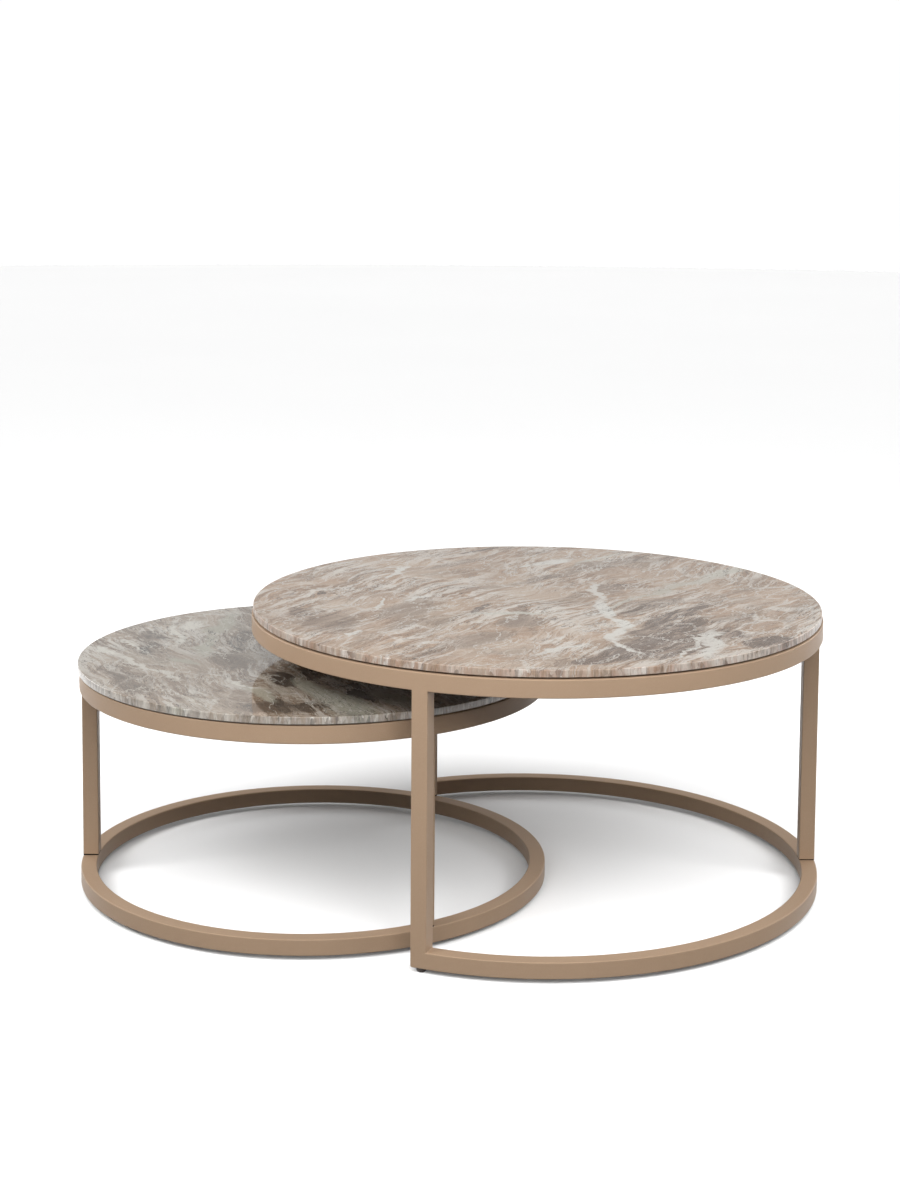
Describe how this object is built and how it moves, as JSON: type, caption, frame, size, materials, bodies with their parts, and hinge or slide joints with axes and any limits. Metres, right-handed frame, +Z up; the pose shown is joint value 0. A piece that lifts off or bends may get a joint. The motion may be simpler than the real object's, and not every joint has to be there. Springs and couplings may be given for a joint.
{
  "type": "nesting tables",
  "caption": "Round nesting coffee tables with marble slabs on tubular steel ring frames; the small table slides under the large one through its open base ring.",
  "frame": {"origin": "on the floor, under the middle of the pair's bounding box in the part-nested pose", "axes": "+X from the small table's centre to the large table's centre, +Z up"},
  "size_m": [1.041, 0.798, 0.4],
  "materials": {
    "warm_marble": "polished, beige with white veins and grey-brown patches",
    "grey_marble": "polished, grey-taupe with pale green-white veins",
    "powder_coat": "satin champagne powder coat",
    "zinc_steel": "zinc plated",
    "foot_plastic": "dark brown, moulded",
    "clear_silicone": "translucent, self-adhesive"
  },
  "bodies": {
    "large_table": {"large_marble_top": "warm_marble", "large_top_ring": "powder_coat", "large_base_ring": "powder_coat", "large_leg_right": "powder_coat", "large_leg_rear": "powder_coat", "large_leg_front": "powder_coat", "large_leg_spigot_right": "zinc_steel", "large_foot_nut_right": "zinc_steel", "large_foot_nut_rear": "zinc_steel", "large_foot_nut_front": "zinc_steel", "large_bumper_1": "clear_silicone", "large_bumper_2": "clear_silicone", "large_bumper_3": "clear_silicone", "large_bumper_4": "clear_silicone", "large_bumper_5": "clear_silicone", "large_bumper_6": "clear_silicone"},
    "small_table": {"small_marble_top": "grey_marble", "small_top_ring": "powder_coat", "small_base_ring": "powder_coat", "small_leg_left": "powder_coat", "small_leg_spigot_left": "zinc_steel", "small_leg_rear": "powder_coat", "small_leg_spigot_rear": "zinc_steel", "small_leg_front": "powder_coat", "small_leg_spigot_front": "zinc_steel", "small_foot_nut_left": "zinc_steel", "small_foot_nut_rear": "zinc_steel", "small_foot_nut_front": "zinc_steel", "small_bumper_1": "clear_silicone", "small_bumper_2": "clear_silicone", "small_bumper_3": "clear_silicone", "small_bumper_4": "clear_silicone", "small_bumper_5": "clear_silicone", "small_bumper_6": "clear_silicone"},
    "large_foot_right": {"large_foot_right": "foot_plastic"},
    "large_foot_rear": {"large_foot_rear": "foot_plastic"},
    "large_foot_front": {"large_foot_front": "foot_plastic"},
    "small_foot_left": {"small_foot_left": "foot_plastic"},
    "small_foot_rear": {"small_foot_rear": "foot_plastic"},
    "small_foot_front": {"small_foot_front": "foot_plastic"}
  },
  "joints": [
    {"name": "nest_slide", "type": "slide", "parent": "large_table", "child": "small_table", "axis": [1, 0, 0], "range_m": [-0.45, 0.312]},
    {"name": "large_foot_right_level", "type": "slide", "parent": "large_table", "child": "large_foot_right", "axis": [0, 0, -1], "range_m": [0, 0.005]},
    {"name": "large_foot_rear_level", "type": "slide", "parent": "large_table", "child": "large_foot_rear", "axis": [0, 0, -1], "range_m": [0, 0.005]},
    {"name": "large_foot_front_level", "type": "slide", "parent": "large_table", "child": "large_foot_front", "axis": [0, 0, -1], "range_m": [0, 0.005]},
    {"name": "small_foot_left_level", "type": "slide", "parent": "small_table", "child": "small_foot_left", "axis": [0, 0, -1], "range_m": [0, 0.005]},
    {"name": "small_foot_rear_level", "type": "slide", "parent": "small_table", "child": "small_foot_rear", "axis": [0, 0, -1], "range_m": [0, 0.005]},
    {"name": "small_foot_front_level", "type": "slide", "parent": "small_table", "child": "small_foot_front", "axis": [0, 0, -1], "range_m": [0, 0.005]}
  ]
}
